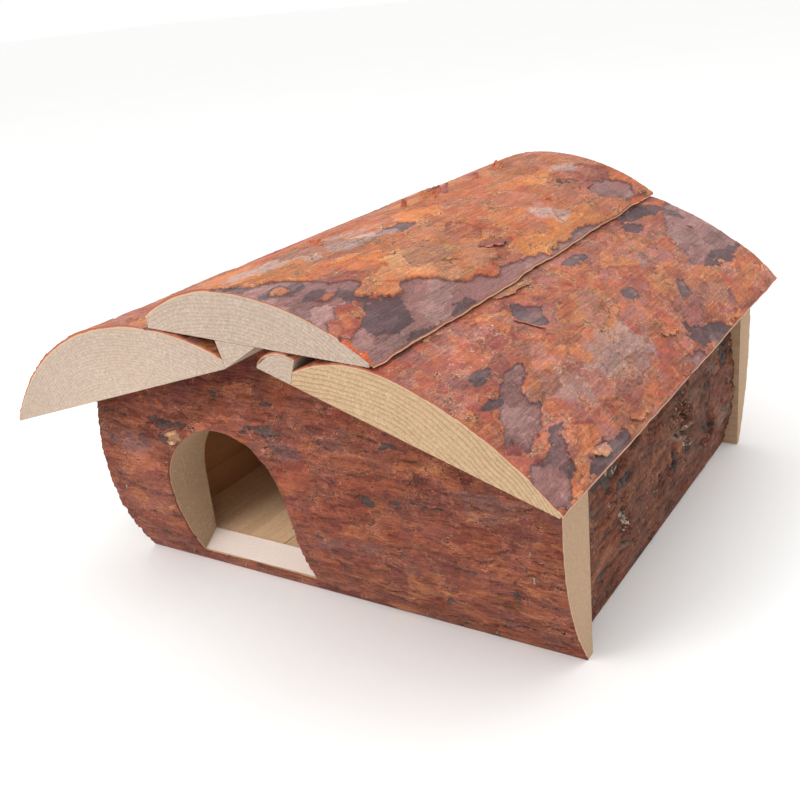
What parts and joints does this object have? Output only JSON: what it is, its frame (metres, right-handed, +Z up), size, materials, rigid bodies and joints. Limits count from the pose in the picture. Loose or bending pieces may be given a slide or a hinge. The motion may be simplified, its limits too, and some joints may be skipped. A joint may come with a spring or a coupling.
{
  "type": "hedgehog house",
  "caption": "Low garden shelter for hedgehogs, stapled together from bark-covered pine slabs, with an arched entrance, a plank floor and a slab roof with a ridge cap.",
  "frame": {"origin": "on the ground, in the middle of the room between the flat faces of the front and back walls, half way along the front wall", "axes": "+Z up, -Y out of the entrance, +X to the right when facing the entrance"},
  "size_m": [0.4606, 0.48, 0.2637],
  "materials": {
    "slab_wood": "sawn pine",
    "wall_bark": "rough bark",
    "roof_bark": "flaky bark",
    "floor_wood": "sawn pine",
    "staple_steel": "galvanised",
    "cap_staple_steel": "yellow zinc plated"
  },
  "bodies": {
    "root": {"front_wall": "slab_wood", "back_wall": "slab_wood", "left_wall": "slab_wood", "right_wall": "slab_wood", "roof_left_slab": "slab_wood", "roof_right_slab": "slab_wood", "roof_cap_slab": "slab_wood", "ridge_strip_left": "slab_wood", "ridge_strip_right": "slab_wood", "front_wall_bark": "wall_bark", "back_wall_bark": "wall_bark", "left_wall_bark": "wall_bark", "right_wall_bark": "wall_bark", "roof_left_bark": "roof_bark", "roof_right_bark": "roof_bark", "roof_cap_bark": "roof_bark", "ridge_strip_right_bark": "roof_bark", "floor_plank_1": "floor_wood", "floor_plank_2": "floor_wood", "floor_plank_3": "floor_wood", "front_wall_staples": "staple_steel", "back_wall_staples": "staple_steel", "floor_staples": "staple_steel", "roof_left_staples": "staple_steel", "roof_right_staples": "staple_steel", "roof_cap_staples": "cap_staple_steel"}
  },
  "joints": []
}
